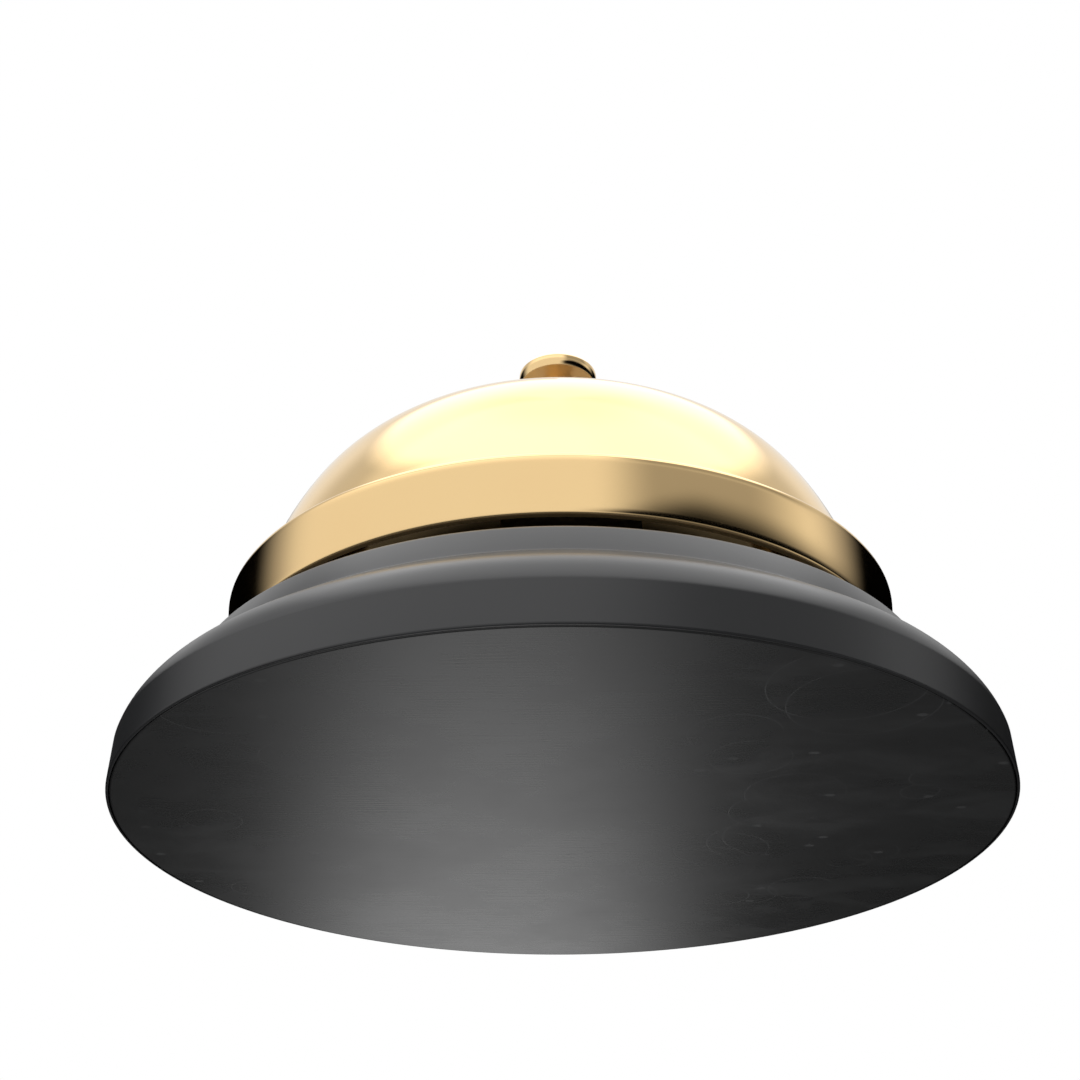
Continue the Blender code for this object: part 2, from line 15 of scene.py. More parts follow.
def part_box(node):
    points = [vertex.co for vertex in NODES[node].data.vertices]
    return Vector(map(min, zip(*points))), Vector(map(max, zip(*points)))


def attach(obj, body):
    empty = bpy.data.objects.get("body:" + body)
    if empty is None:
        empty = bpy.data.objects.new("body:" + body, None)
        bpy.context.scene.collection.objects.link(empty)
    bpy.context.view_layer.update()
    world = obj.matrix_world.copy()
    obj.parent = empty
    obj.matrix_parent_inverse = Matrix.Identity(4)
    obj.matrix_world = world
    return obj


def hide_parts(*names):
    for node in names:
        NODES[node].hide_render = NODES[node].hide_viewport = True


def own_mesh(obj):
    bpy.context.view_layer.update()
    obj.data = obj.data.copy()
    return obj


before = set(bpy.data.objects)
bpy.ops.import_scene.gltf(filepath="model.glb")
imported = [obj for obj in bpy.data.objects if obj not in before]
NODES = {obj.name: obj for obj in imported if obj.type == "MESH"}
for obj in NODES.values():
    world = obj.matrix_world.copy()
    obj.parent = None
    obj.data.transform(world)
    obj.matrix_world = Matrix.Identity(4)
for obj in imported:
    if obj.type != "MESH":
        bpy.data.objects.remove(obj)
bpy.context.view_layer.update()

MM = 0.001
FACETS = 256  # round a large turned piece
FINE_FACETS = 96  # round a small one
HOLD = 0.04 * MM  # from a straight run's end to the point that holds its shading
LONG_RUN = 1.5 * MM  # shortest straight run that is held so
BASE_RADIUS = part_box("base_shell")[1].x
RIM_STEPS = 8  # on the round at the gong's outer lower edge
DOME_ARCS = ((78, 60, 32.0 * MM), (60, 25, 16.9 * MM))  # slope at start and end, and radius
RINGS = 27  # circles scratched on the underside
HAMMER_TILT = 18.5  # degrees the lever hangs below the horizontal at rest

# Strength of the studio's light
WALL_LIGHT = 0.88
CEILING_LIGHT = 1.88
PATCH_LIGHT = 0.8  # added by the bright gap behind the bell
PATCH_TURN = 3  # degrees from straight behind the bell to the middle of that gap

STEEL_NODES = ("link_pin", "hammer_rivet", "pivot_pin")
ZINC_NODES = (
    "mechanism_frame",
    "frame_screw_front",
    "frame_screw_rear",
    "frame_nut_front",
    "frame_nut_rear",
    "post_lower_nut",
    "post_upper_nut",
    "gong_seat_nut",
    "spring_washer",
    "spring_clip",
    "stop_clip",
    "hammer_lever",
    "pivot_clip",
    "pivot_sleeve_front",
    "pivot_sleeve_rear",
)


# ---------------------------------------------------------------- outlines


def arc(centre, radius, start, end, steps):
    """Points on an arc about centre, from the start to the end angle in degrees."""
    angles = [math.radians(start + (end - start) * i / steps) for i in range(steps + 1)]
    return [(centre[0] + radius * math.cos(a), centre[1] + radius * math.sin(a)) for a in angles]


def along(point, angle, distance):
    """The point that far from another, towards that angle in degrees."""
    turn = math.radians(angle)
    return (point[0] + distance * math.cos(turn), point[1] + distance * math.sin(turn))


def held(outline):
    """The outline with a point near both ends of each long straight run, so that it shades flat."""
    points = []
    for first, second in zip(outline, outline[1:]):
        points.append(first)
        run = Vector(second) - Vector(first)
        if run.length > LONG_RUN:
            step = run.normalized() * HOLD
            points += [tuple(Vector(first) + step), tuple(Vector(second) - step)]
    return points + [outline[-1]]


def inward(points, distance):
    """The curve moved to its inner side by distance, along the mean normal at each point."""
    moved = []
    for i, (radius, height) in enumerate(points):
        before = points[max(i - 1, 0)]
        after = points[min(i + 1, len(points) - 1)]
        run, rise = after[0] - before[0], after[1] - before[1]
        length = math.hypot(run, rise)
        moved.append((radius - distance * rise / length, height + distance * run / length))
    return moved


# ---------------------------------------------------------------- meshes


def to_mesh(name, shape, sharp=35):
    """Makes a mesh of a bmesh: outward faces, smooth shading, and sharp edges past that many degrees."""
    bmesh.ops.recalc_face_normals(shape, faces=shape.faces)
    mesh = bpy.data.meshes.new(name)
    shape.to_mesh(mesh)
    shape.free()
    mesh.shade_smooth()
    mesh.set_sharp_from_angle(angle=math.radians(sharp))
    return mesh


def turned(name, outline, facets=FACETS):
    """A mesh turned about Z from (radius, height) points. One that starts on the axis stays open there."""
    shape = bmesh.new()
    points = [shape.verts.new((radius, 0, height)) for radius, height in held(outline)]
    edges = [shape.edges.new(pair) for pair in zip(points, points[1:])]
    if outline[0][0] > 0:
        edges.append(shape.edges.new((points[-1], points[0])))
    bmesh.ops.spin(shape, geom=points + edges, axis=(0, 0, 1), angle=math.tau, steps=facets)
    bmesh.ops.remove_doubles(shape, verts=shape.verts, dist=MM / 10000)
    return to_mesh(name, shape)


def piece(mesh, material, body, slot, *nodes):
    """Puts a mesh in the scene, riding on its body, in place of its CAD nodes."""
    made = bpy.data.objects.new(mesh.name, mesh)
    bpy.context.scene.collection.objects.link(made)
    made.data.materials.append(material)
    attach(made, body)
    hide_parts(*nodes)
    return made


# ---------------------------------------------------------------- materials


class Graph:
    """Builds a node tree by short calls."""

    def __init__(self, tree):
        self.tree = tree

    def add(self, kind, **settings):
        made = self.tree.nodes.new(kind)
        for key, value in settings.items():
            setattr(made, key, value)
        return made

    def feed(self, socket, value):
        """Links an output to a socket, or sets the socket's own value."""
        if isinstance(value, bpy.types.NodeSocket):
            self.tree.links.new(value, socket)
        else:
            socket.default_value = value

    def math(self, operation, first, second=0.0, third=0.0):
        made = self.add("ShaderNodeMath", operation=operation)
        for socket, value in zip(made.inputs, (first, second, third)):
            self.feed(socket, value)
        return made.outputs[0]

    def times(self, first, *others):
        """The product of several values."""
        for other in others:
            first = self.math("MULTIPLY", first, other)
        return first

    def plus(self, first, second):
        return self.math("ADD", first, second)

    def split(self, vector):
        """A vector's three parts."""
        made = self.add("ShaderNodeSeparateXYZ")
        self.feed(made.inputs[0], vector)
        return made.outputs

    def ramp(self, value, low, high, start=0.0, end=1.0):
        """Maps low..high of value to start..end, held at the ends."""
        made = self.add("ShaderNodeMapRange", interpolation_type="SMOOTHSTEP")
        self.feed(made.inputs["Value"], value)
        for key, number in (("From Min", low), ("From Max", high), ("To Min", start), ("To Max", end)):
            self.feed(made.inputs[key], number)
        return made.outputs["Result"]


class Finish(Graph):
    """A material's nodes, round one Principled shader."""

    def __init__(self, name):
        self.material = bpy.data.materials.new(name)
        self.material.use_nodes = True
        super().__init__(self.material.node_tree)
        self.shader = self.tree.nodes["Principled BSDF"]
        self.place = self.add("ShaderNodeTexCoord").outputs["Object"]

    def set(self, **values):
        """Sets or links the shader's sockets, named with underscores."""
        for key, value in values.items():
            self.feed(self.shader.inputs[key.replace("_", " ")], value)

    def stretch(self, scale, rotation=(0, 0, 0), source=None):
        """Coordinates scaled by a factor along each axis."""
        made = self.add("ShaderNodeMapping")
        self.feed(made.inputs["Vector"], source or self.place)
        made.inputs["Rotation"].default_value = rotation
        made.inputs["Scale"].default_value = scale
        return made.outputs[0]

    def noise(self, vector, scale=1.0, detail=2.0, roughness=0.5, distortion=0.0):
        made = self.add("ShaderNodeTexNoise")
        self.feed(made.inputs["Vector"], vector)
        settings = {"Scale": scale, "Detail": detail, "Roughness": roughness, "Distortion": distortion}
        for key, value in settings.items():
            made.inputs[key].default_value = value
        return made.outputs["Fac"]

    def cells(self, vector, scale, dimensions="3D"):
        """The distance to the nearest of many scattered points, in cells of a Voronoi pattern."""
        made = self.add("ShaderNodeTexVoronoi", voronoi_dimensions=dimensions)
        self.feed(made.inputs["Vector"], vector)
        made.inputs["Scale"].default_value = scale
        return made.outputs["Distance"]

    def most(self, first, *others):
        """The largest of several masks."""
        for other in others:
            first = self.math("MAXIMUM", first, other)
        return first

    def patches(self, scale, low, high):
        """A mask of soft scattered patches."""
        return self.ramp(self.noise(self.place, scale=scale, detail=3), low, high)

    def hairs(self, turn, scale, level):
        """A mask of fine scratches that all run the way turn gives, in radians, and bend a little."""
        stretched = self.stretch((scale, scale * 34, scale), (0, 0, turn))
        return self.ramp(self.noise(stretched, detail=2, roughness=0.6, distortion=0.25), level, level + 0.05)

    def scattered_ring(self, index):
        """A mask of one hair-thin circle on the XY plane: one in three on the left, the rest on the right."""
        out = BASE_RADIUS * (0.35 + 0.6 * ((index * 0.618) % 1))
        angle = math.radians(-60 + 125 * ((index * 0.755) % 1) + (180 if index % 3 == 0 else 0))
        radius = (1.6 + 5 * ((index * 0.37) % 1)) * MM
        away = self.add("ShaderNodeVectorMath", operation="DISTANCE")
        self.feed(away.inputs[0], self.stretch((1, 1, 0)))
        away.inputs[1].default_value = (out * math.cos(angle), out * math.sin(angle), 0)
        off = self.math("ABSOLUTE", self.math("SUBTRACT", away.outputs["Value"], radius))
        return self.ramp(off, 0.02 * MM, 0.08 * MM, 1, 0)

    def mix(self, share, first, second):
        """A blend of two colours."""
        made = self.add("ShaderNodeMix", data_type="RGBA")
        for name, value in (("Factor_Float", share), ("A_Color", first), ("B_Color", second)):
            socket = next(s for s in made.inputs if s.identifier == name)
            self.feed(socket, value)
        return next(s for s in made.outputs if s.identifier == "Result_Color")

    def bump(self, height, strength, distance, below=None):
        made = self.add("ShaderNodeBump")
        self.feed(made.inputs["Height"], height)
        made.inputs["Strength"].default_value = strength
        made.inputs["Distance"].default_value = distance
        if below is not None:
            self.feed(made.inputs["Normal"], below)
        return made.outputs["Normal"]

    def polar(self):
        """(angle, radius, height) coordinates about the Z axis, for marks left by turning."""
        x, y, z = self.split(self.place)
        radius = self.math("SQRT", self.plus(self.times(x, x), self.times(y, y)))
        join = self.add("ShaderNodeCombineXYZ")
        for socket, value in zip(join.inputs, (self.math("ARCTAN2", y, x), radius, z)):
            self.feed(socket, value)
        return join.outputs[0]


def polished_brass(name, underside):
    """Lacquered brass, dull below: faint spun lines round it, soft smudges, a few dust specks."""
    made = Finish(name)
    spun = made.noise(made.stretch((0.6, 5200, 5200), source=made.polar()), detail=3)
    smudge = made.noise(made.place, scale=60, detail=4, roughness=0.6)
    specks = made.ramp(made.cells(made.place, 420), 0.03, 0.07, 1.0, 0.0)
    rough = made.plus(made.ramp(smudge, 0.35, 0.75, 0.07, 0.11), made.ramp(spun, 0.4, 0.8, 0.0, 0.012))
    dull = made.ramp(made.split(made.place)[2], underside + 0.03 * MM, underside + 0.10 * MM, 0.42, 0)
    rough = made.plus(rough, dull)
    made.set(
        Base_Color=made.mix(made.ramp(smudge, 0.3, 0.8), (0.955, 0.685, 0.345, 1), (0.945, 0.67, 0.335, 1)),
        Metallic=1.0,
        Roughness=made.plus(rough, made.times(specks, 0.03)),
        Normal=made.bump(spun, 0.004, 0.00002),
    )
    return made.material


def black_paint():
    """Satin black paint on pressed steel: fine orange peel, uneven sheen, a few rubs and hair scratches."""
    made = Finish("black_paint")
    peel = made.noise(made.place, scale=1600, detail=2)
    sheen = made.noise(made.place, scale=45, detail=5, roughness=0.6)
    rubs = made.ramp(made.noise(made.place, scale=140, detail=5, roughness=0.7), 0.62, 0.72)
    hairs = made.most(made.hairs(0.7, 130, 0.72), made.hairs(2.2, 150, 0.73))
    marks = made.most(hairs, made.times(rubs, 0.5))
    marks = made.times(marks, made.patches(38, 0.52, 0.66))
    share = made.times(marks, 0.5)
    made.set(
        Base_Color=made.mix(share, (0.016, 0.0165, 0.018, 1), (0.06, 0.062, 0.064, 1)),
        Roughness=made.plus(made.ramp(sheen, 0.3, 0.7, 0.29, 0.35), made.times(marks, 0.12)),
        Normal=made.bump(peel, 0.05, 0.00005),
        IOR=1.57,
    )
    return made.material


def scuffed_plate():
    """The underside's black finish: faint brushing, and arcs, nicks and smears, most of them to the right."""
    made = Finish("scuffed_plate")
    brushed = made.noise(made.stretch((90, 3800, 1)), detail=4, roughness=0.7)
    haze = made.noise(made.place, scale=55, detail=6, roughness=0.65)
    x = made.split(made.place)[0]
    worn = made.ramp(x, 0.05 * BASE_RADIUS, 0.45 * BASE_RADIUS)
    worn = made.most(worn, made.ramp(x, -0.75 * BASE_RADIUS, -0.4 * BASE_RADIUS, 0.7, 0))
    fine = made.most(made.hairs(0.5, 80, 0.70), made.hairs(1.9, 95, 0.71), made.hairs(2.7, 70, 0.70))
    fine = made.times(fine, made.patches(26, 0.50, 0.64))
    arcs = made.most(*(made.scattered_ring(i) for i in range(RINGS)))
    arcs = made.times(arcs, made.patches(90, 0.40, 0.56))
    streaks = made.stretch((70, 170, 1), (0, 0, 0.15))
    smears = made.ramp(made.noise(streaks, detail=5, roughness=0.62, distortion=0.8), 0.44, 0.70)
    smears = made.times(smears, made.patches(35, 0.36, 0.56))
    spots = made.cells(made.stretch((85, 135, 1), (0, 0, 0.1)), 1.0, "2D")
    nicks = made.times(made.ramp(spots, 0.03, 0.05, 1, 0), made.patches(50, 0.40, 0.50))
    cuts = made.times(made.most(made.times(arcs, 0.8), nicks), worn)
    marks = made.most(made.times(fine, 0.1), cuts)
    marks = made.most(marks, made.times(smears, 0.36, worn))
    clean = made.mix(made.ramp(haze, 0.35, 0.8), (0.019, 0.0195, 0.0198, 1), (0.027, 0.0275, 0.028, 1))
    rough = made.plus(made.ramp(haze, 0.3, 0.75, 0.25, 0.31), made.ramp(brushed, 0.45, 0.75, 0.0, 0.025))
    made.set(
        Base_Color=made.mix(made.times(marks, 0.85), clean, (0.075, 0.077, 0.078, 1)),
        Roughness=made.plus(rough, made.times(marks, 0.14)),
        Normal=made.bump(cuts, 0.2, -0.00001, made.bump(brushed, 0.009, 0.00003)),
        IOR=1.5,
    )
    return made.material


# ---------------------------------------------------------------- the bell's turned pieces


def make_base(paint, plate_finish):
    """The pressed dish and the plate that closes it."""
    low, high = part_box("base_shell")
    bottom, deck = low.z, high.z
    wall = 1.6 * MM
    lip = 0.25 * MM
    plate_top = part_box("bottom_plate")[1].z
    band_top = 3.9 * MM
    # Radius of each curve, and the degrees of its normal above the horizontal at its start and end
    shoulder_round, shoulder_low, shoulder_high = 5.6 * MM, 12, 51.6
    tier_bulge, tier_low, tier_high = 26 * MM, 22, 28
    top_round = 0.85 * MM
    edge = 0.15 * MM
    fillet = 0.22 * MM  # from the tier's foot down to the start of the crease's arc
    crease_round = 1.6 * fillet
    draft = 0.1 * MM
    shoulder = along((BASE_RADIUS - draft, band_top), shoulder_low, -shoulder_round)
    top_centre = (35.61 * MM, deck - top_round)
    tier = along(top_centre, tier_high, top_round - tier_bulge)
    upper = arc(tier, tier_bulge, tier_low, tier_high, 10) + arc(top_centre, top_round, tier_high, 90, 12)[1:]
    foot = along(along(upper[0], tier_low - 90, fillet), tier_low, crease_round)
    lower = arc(shoulder, shoulder_round, shoulder_low, shoulder_high, 18)
    crease = arc(foot, crease_round, 180 + tier_low, 180 + shoulder_high, 8)
    outside = [(BASE_RADIUS - lip, bottom), *arc((BASE_RADIUS - edge, bottom + edge), edge, -90, 0, 6)]
    outside += lower + crease[::-1] + upper[1:]
    hole = 3.2 * MM
    rebate = plate_top + 0.3 * MM
    outside += [
        (hole, deck),
        (hole, deck - wall),
        (top_centre[0], deck - wall),
        (crease[0][0] - wall, crease[0][1] - wall),
        (lower[-1][0] - wall, lower[-1][1] - wall),
        (BASE_RADIUS - wall, band_top - edge),
        (BASE_RADIUS - wall, rebate),
        (BASE_RADIUS - lip, rebate),
    ]
    piece(turned("painted_base", outside), paint, "base", "black_paint", "base_shell")
    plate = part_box("bottom_plate")[1].x
    outline = [(0, 0), (plate - edge, 0), *arc((plate - edge, edge), edge, -90, 0, 4)]
    outline += [(plate, plate_top), (0, plate_top)]
    piece(turned("underside_plate", outline), plate_finish, "base", "black_paint", "bottom_plate")


def gong_curve():
    """The gong's outer face from its rim to its seat at the top."""
    low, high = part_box("gong")
    rim_radius, rim = 32.95 * MM, low.z
    band, band_top = high.x, 20.6 * MM
    step_round = 0.7 * MM
    foot_radius, foot = 31.0 * MM, 22.75 * MM
    edge = 0.3 * MM
    seat_radius = 6.5 * MM
    flare = math.degrees(math.atan2(band - rim_radius, band_top - rim))
    low_tilt, high_tilt = flare + 3, flare - 3  # degrees of the band's normal below the horizontal
    corner = (band - step_round, band_top)
    bulge = (band_top - rim) / (math.sin(math.radians(low_tilt)) - math.sin(math.radians(high_tilt)))
    centre = along(corner, -high_tilt, step_round - bulge)
    rim_tilt = math.degrees(math.asin((centre[1] - rim - edge) / (bulge - edge)))
    rim_centre = along(centre, -rim_tilt, bulge - edge)
    points = arc(rim_centre, edge, -90, -rim_tilt, RIM_STEPS)
    points += arc(centre, bulge, -rim_tilt, -high_tilt, 12)[1:]
    points += arc(corner, step_round, -high_tilt, 90, 12)[1:]
    points += arc((foot_radius + step_round, foot), step_round, 250, 192, 8)
    for start, end, bend in DOME_ARCS:
        steps = round((start - end) / 1.5)
        centre = along(points[-1], 90 - start, -bend)
        points += arc(centre, bend, 90 - start, 90 - end, steps)[1:]
    radius, height = points[-1]
    slope = DOME_ARCS[-1][1]
    crown = radius / math.sin(math.radians(slope))
    seat = math.degrees(math.asin(seat_radius / crown))
    centre = (0, height - crown * math.cos(math.radians(slope)))
    points += arc(centre, crown, 90 - slope, 90 - seat, 14)[1:]
    return points


def make_gong(brass):
    """The gong, its wall turned in one piece."""
    wall = 0.8 * MM
    hole = 3.3 * MM
    chamfer = 0.1 * MM
    curve = gong_curve()
    rim, crown = (corner.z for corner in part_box("gong"))
    curve[-1] = (curve[-1][0], crown)
    inner = inward(curve[RIM_STEPS:], wall)
    inner[0] = (inner[0][0], rim + chamfer)
    inner.insert(0, (inner[0][0] + chamfer, rim))
    inner[-1] = (inner[-1][0], crown - wall)
    outline = curve + [(hole, crown), (hole, crown - wall)] + inner[::-1]
    piece(turned("polished_gong", outline), brass, "base", "polished_brass", "gong")


def make_button(brass):
    """The button: flat below, a side that flares from a sharp edge, a low crown, and a blind hole."""
    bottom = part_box("button")[0].z
    radius, side_round, side_from, side_to = 4.4 * MM, 2.4 * MM, -25, 5
    top_round, crown_from = 0.2 * MM, 60
    side_centre = (radius - side_round, bottom - side_round * math.sin(math.radians(side_from)))
    side = arc(side_centre, side_round, side_from, side_to, 12)
    shoulder = arc(along(side[-1], side_to, -top_round), top_round, side_to, crown_from, 8)
    crown = shoulder[-1][0] / math.cos(math.radians(crown_from))
    crown_centre = (0, shoulder[-1][1] - crown * math.sin(math.radians(crown_from)))
    top = arc(crown_centre, crown, crown_from, 90, 12)
    hole = 1.8 * MM
    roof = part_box("plunger_rod")[1].z + 0.3 * MM
    outline = [(0, roof), (hole, roof), (hole, bottom), *side, *shoulder[1:], *top[1:-1], (0, top[-1][1])]
    piece(turned("button_disc", outline, FINE_FACETS), brass, "plunger", "polished_brass", "button")


# ---------------------------------------------------------------- the mechanism


def bright_steel():
    """Drawn steel: fine lines along its length, and a trace of oil."""
    made = Finish("bright_steel")
    drawn = made.noise(made.stretch((2600, 2600, 90)), detail=3)
    oil = made.noise(made.place, scale=220, detail=4)
    made.set(
        Base_Color=made.mix(made.ramp(oil, 0.4, 0.7), (0.62, 0.62, 0.63, 1), (0.50, 0.50, 0.52, 1)),
        Metallic=1.0,
        Roughness=made.plus(made.ramp(drawn, 0.3, 0.7, 0.20, 0.30), made.ramp(oil, 0.5, 0.8, 0.0, 0.08)),
        Normal=made.bump(drawn, 0.08, 0.00003),
    )
    return made.material


def threaded_steel():
    """The post's thread, as turns of a fine bump up its length, with painted shade darkening its grooves."""
    made = Finish("threaded_steel")
    pitch = 1 * MM
    around, _, height = made.split(made.polar())
    turns = made.math("SUBTRACT", made.math("DIVIDE", height, pitch), made.math("DIVIDE", around, math.tau))
    thread = made.math("PINGPONG", turns, 0.5)
    # Painted shade in the thread's grooves: the colour darkens, and the roughness rises, towards each
    # groove's bottom
    painted_groove_shade = made.ramp(thread, 0.0, 0.25, 1, 0)
    made.set(
        Base_Color=made.mix(painted_groove_shade, (0.60, 0.60, 0.62, 1), (0.22, 0.21, 0.20, 1)),
        Metallic=1.0,
        Roughness=made.plus(0.28, made.times(painted_groove_shade, 0.2)),
        Normal=made.bump(thread, 1.0, 0.0005),
    )
    return made.material


def zinc_plate():
    """Bright zinc plating: a blue-grey cast, faint mottling and small dull spots."""
    made = Finish("zinc_plate")
    mottle = made.noise(made.place, scale=260, detail=4, roughness=0.6)
    spots = made.ramp(made.cells(made.place, 500), 0.08, 0.16, 1, 0)
    made.set(
        Base_Color=made.mix(made.ramp(mottle, 0.35, 0.7), (0.60, 0.62, 0.65, 1), (0.50, 0.51, 0.52, 1)),
        Metallic=1.0,
        Roughness=made.plus(made.ramp(mottle, 0.3, 0.7, 0.30, 0.42), made.times(spots, 0.12)),
        Normal=made.bump(mottle, 0.06, 0.00005),
    )
    return made.material


def plain_brass():
    """Turned brass left unpolished: tool lines round it, and a brown bloom."""
    made = Finish("plain_brass")
    lines = made.noise(made.stretch((2, 6000, 6000), source=made.polar()), detail=2)
    bloom = made.noise(made.place, scale=180, detail=5, roughness=0.65)
    made.set(
        Base_Color=made.mix(made.ramp(bloom, 0.4, 0.75), (0.84, 0.61, 0.29, 1), (0.60, 0.40, 0.19, 1)),
        Metallic=1.0,
        Roughness=made.plus(made.ramp(bloom, 0.3, 0.7, 0.26, 0.38), made.ramp(lines, 0.4, 0.7, 0.0, 0.06)),
        Normal=made.bump(lines, 0.08, 0.00003),
    )
    return made.material


def red_fibre():
    """Vulcanised fibre: matt red-brown, with short pale fibres pressed flat."""
    made = Finish("red_fibre")
    fibres = made.noise(made.stretch((500, 2400, 900), (0, 0, 0.6)), detail=4, roughness=0.7)
    made.set(
        Base_Color=made.mix(made.ramp(fibres, 0.4, 0.7), (0.30, 0.06, 0.04, 1), (0.42, 0.13, 0.09, 1)),
        Roughness=made.ramp(fibres, 0.3, 0.7, 0.68, 0.82),
        Normal=made.bump(fibres, 0.2, 0.00004),
    )
    return made.material


def finish_cad_nodes(finishes):
    """CAD nodes whose shape is right keep it, with a finish and a small bevel that catches the light."""
    for material, names in finishes:
        for name in names:
            node = NODES[name]
            node.data.materials.clear()
            node.data.materials.append(material)
            bevel = node.modifiers.new("edges", "BEVEL")
            bevel.width = 0.08 * MM
            bevel.segments = 2
            bevel.limit_method = "ANGLE"
            bevel.angle_limit = math.radians(50)
            bevel.harden_normals = True


def make_post(material):
    """The hollow threaded post, chamfered at both ends."""
    low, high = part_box("center_post")
    radius, chamfer, bore = high.x, 0.4 * MM, 1.85 * MM
    outline = [(bore, low.z), (radius - chamfer, low.z), (radius, low.z + chamfer)]
    outline += [(radius, high.z - chamfer), (radius - chamfer, high.z), (bore, high.z)]
    piece(turned("threaded_post", outline, FINE_FACETS), material, "base", "bright_steel", "center_post")


def make_hammer(material):
    """The hammer head, turned fine in the lever's own frame and then tilted with it."""
    low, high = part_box("hammer_head")
    centre = (low + high) / 2
    radius, tall, hole, edge = 3.4 * MM, 5.0 * MM, 1.2 * MM, 1.0 * MM
    half = tall / 2
    outline = [(hole, -half), *arc((radius - edge, edge - half), edge, -90, 0, 8)]
    outline += [*arc((radius - edge, half - edge), edge, 0, 90, 8), (hole, half)]
    mesh = turned("hammer", outline, FINE_FACETS)
    mesh.transform(Matrix.Translation(centre) @ Matrix.Rotation(math.radians(HAMMER_TILT), 4, "Y"))
    piece(mesh, material, "hammer", "plain_brass", "hammer_head")


def make_spring(material):
    """The return spring: a round wire wound flat at both ends."""
    low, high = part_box("return_spring")
    wire = 0.25 * MM
    middle = high.x - wire
    turns, per_turn, sides = 5, 40, 12
    foot, head = low.z + wire, high.z - wire
    flat = 2.4 * wire
    climb = (head - foot - 2 * flat) / (turns - 2)
    shape = bmesh.new()
    before = None
    for i in range(turns * per_turn + 1):
        turn = i / per_turn
        below, above = min(turn, 1), max(turn - turns + 1, 0)
        height = foot + flat * (below + above) + climb * (turn - below - above)
        angle = math.tau * turn
        section = []
        for k in range(sides):
            around = math.tau * k / sides
            radius = middle + wire * math.cos(around)
            place = (radius * math.cos(angle), radius * math.sin(angle), height + wire * math.sin(around))
            section.append(shape.verts.new(place))
        if before:
            for k in range(sides):
                shape.faces.new((before[k], before[k - 1], section[k - 1], section[k]))
        else:
            shape.faces.new(section)
        before = section
    shape.faces.new(before[::-1])
    made = piece(to_mesh("coil_spring", shape, 60), material, "base", "bright_steel", "return_spring")
    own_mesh(made)


# ---------------------------------------------------------------- studio


def make_camera():
    """The photograph's view: from in front, a little below the base, with a 50 mm lens."""
    data = bpy.data.cameras.new("camera")
    data.lens = 50
    data.sensor_width = 36
    data.clip_start = 0.005
    made = bpy.data.objects.new("camera", data)
    bpy.context.scene.collection.objects.link(made)
    made.location = (0, -3.239 * BASE_RADIUS, -1.1865 * BASE_RADIUS)
    made.rotation_euler = (math.radians(90 + 31.117), 0, math.radians(0.85))
    bpy.context.scene.camera = made


def room_light(sky):
    """The studio's light by direction: its height in degrees, and its side, where 0 is towards the camera."""
    x, y, z = sky.split(sky.add("ShaderNodeTexCoord").outputs["Generated"])
    height = sky.math("DEGREES", sky.math("ARCSINE", z))
    side = sky.math("DEGREES", sky.math("ARCTAN2", x, sky.times(y, -1)))
    to_either_side = sky.math("ABSOLUTE", side)

    # Dark parts of the walls: behind the bell, low to its right, two dim panels there, and both flanks
    behind = sky.times(sky.ramp(to_either_side, 93, 121), sky.ramp(height, 29, 37, 1, 0))
    behind = sky.times(behind, sky.ramp(height, -35, -12, 0.80, 1))
    above_edge = sky.math("SUBTRACT", height, sky.ramp(side, 3, 48, 8.5, 18))
    right = sky.times(sky.ramp(side, 2, 24), sky.ramp(side, 118, 135, 1, 0))
    right = sky.times(right, sky.ramp(above_edge, -3.5, 4, 1, 0), sky.ramp(height, -12, 0, 0.35, 1))
    low_dim = sky.times(sky.ramp(side, 62, 92, 0.55, 0), sky.ramp(height, 26, 30, 1, 0))
    high_dim = sky.times(sky.ramp(height, 24, 30), sky.ramp(height, 40, 55, 1, 0.1))
    high_dim = sky.times(sky.ramp(side, 78, 105, 0.72, 0), high_dim)
    dim = sky.times(sky.ramp(side, 10, 32), sky.math("MAXIMUM", low_dim, high_dim))
    flanks = sky.times(sky.ramp(to_either_side, 85, 105), sky.ramp(to_either_side, 115, 140, 1, 0), 0.28)
    walls = sky.times(sky.ramp(height, -80, 5, 0.45, 1.0), WALL_LIGHT)
    for dark in (behind, right, dim, flanks):
        walls = sky.times(walls, sky.math("SUBTRACT", 1, dark))

    # A glow along the top of the walls towards the camera
    glow = sky.times(sky.ramp(height, 25, 32), sky.ramp(height, 40, 50, 1, 0))
    glow = sky.times(glow, sky.ramp(to_either_side, 60, 100, 1, 0))
    walls = sky.times(walls, sky.math("MULTIPLY_ADD", glow, 0.45, 1))

    # The bright gap behind the bell
    from_gap = sky.math("SUBTRACT", 180 + PATCH_TURN, sky.math("MODULO", sky.plus(side, 360), 360))
    patch = sky.times(sky.ramp(sky.math("ABSOLUTE", from_gap), 2.5, 10, 1, 0), sky.ramp(height, 2, 12, 1, 0))
    patch = sky.times(patch, sky.ramp(height, -60, -40), sky.ramp(height, -29, -15, 1, 1.4))

    # The ceiling, with an edge that slopes a little from left to right
    inside = sky.math("SUBTRACT", height, sky.ramp(side, -110, 110, 2.5, -1.5))
    ceiling = sky.ramp(inside, 50, 57, 0, CEILING_LIGHT - WALL_LIGHT)
    ceiling = sky.times(ceiling, sky.ramp(height, 68, 84, 1, 0.75))
    return sky.plus(sky.plus(walls, sky.times(patch, PATCH_LIGHT)), ceiling)


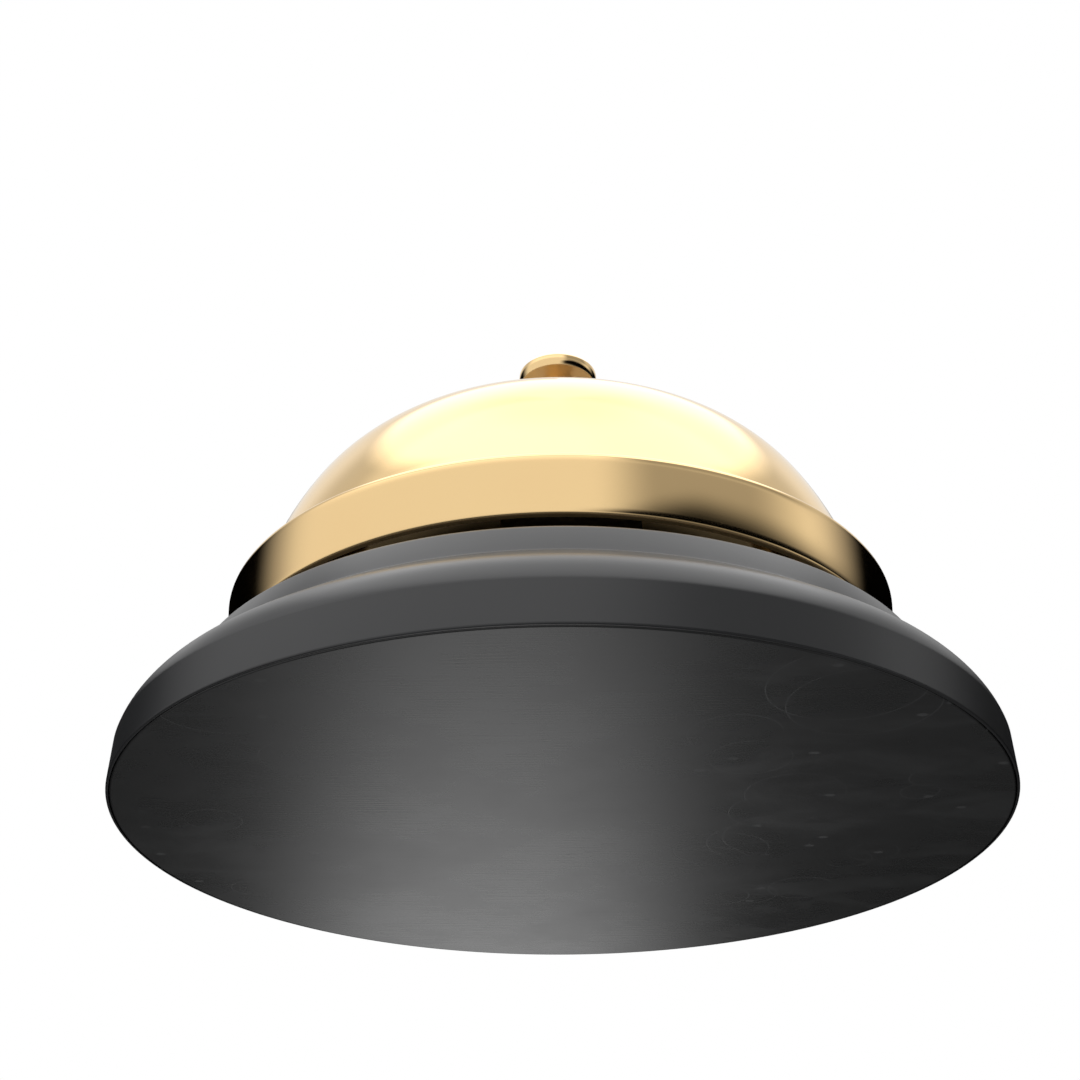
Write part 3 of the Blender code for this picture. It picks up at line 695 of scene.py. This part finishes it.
def make_world():
    """White to the camera, and the studio's light to everything else."""
    world = bpy.data.worlds.new("studio")
    bpy.context.scene.world = world
    world.use_nodes = True
    sky = Graph(world.node_tree)
    room = sky.add("ShaderNodeBackground")
    sky.feed(room.inputs["Strength"], room_light(sky))
    backdrop = sky.tree.nodes["Background"]
    for shader in (room, backdrop):
        shader.inputs["Color"].default_value = (1, 1, 1, 1)
    mix = sky.add("ShaderNodeMixShader")
    sky.feed(mix.inputs["Fac"], sky.add("ShaderNodeLightPath").outputs["Is Camera Ray"])
    sky.feed(mix.inputs[1], room.outputs[0])
    sky.feed(mix.inputs[2], backdrop.outputs[0])
    sky.feed(sky.tree.nodes["World Output"].inputs["Surface"], mix.outputs[0])


def make_floor():
    """A pale floor under the bell that shows from above, and lets a camera below it see the underside."""
    shape = bmesh.new()
    reach = 40 * BASE_RADIUS
    below = -0.2 * MM
    quarters = ((-1, -1), (1, -1), (1, 1), (-1, 1))
    corners = [shape.verts.new((x * reach, y * reach, below)) for x, y in quarters]
    shape.faces.new(corners)
    mesh = bpy.data.meshes.new("floor")
    shape.to_mesh(mesh)
    shape.free()
    made = bpy.data.objects.new("floor", mesh)
    bpy.context.scene.collection.objects.link(made)
    top = Finish("floor")
    top.set(Base_Color=(0.86, 0.86, 0.86, 1), Roughness=0.9)
    mix = top.add("ShaderNodeMixShader")
    top.feed(mix.inputs["Fac"], top.add("ShaderNodeNewGeometry").outputs["Backfacing"])
    top.feed(mix.inputs[1], top.shader.outputs[0])
    top.feed(mix.inputs[2], top.add("ShaderNodeBsdfTransparent").outputs[0])
    top.feed(top.tree.nodes["Material Output"].inputs["Surface"], mix.outputs[0])
    made.data.materials.append(top.material)
    made.visible_diffuse = False
    made.visible_glossy = False
    made.visible_transmission = False
    made.visible_shadow = False


def main():
    paint = black_paint()
    steel = bright_steel()
    turned_brass = plain_brass()
    make_camera()
    make_world()
    make_floor()
    make_base(paint, scuffed_plate())
    make_gong(polished_brass("polished_brass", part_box("gong")[0].z))
    make_button(polished_brass("button_brass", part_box("button")[0].z))
    make_post(threaded_steel())
    make_hammer(turned_brass)
    make_spring(steel)
    finish_cad_nodes(
        (
            (steel, STEEL_NODES),
            (zinc_plate(), ZINC_NODES),
            (turned_brass, ("plunger_rod", "guide_bush", "gong_upper_washer", "gong_top_nut")),
            (red_fibre(), ("gong_lower_washer",)),
        )
    )
    bpy.context.scene.view_settings.view_transform = "Standard"


main()
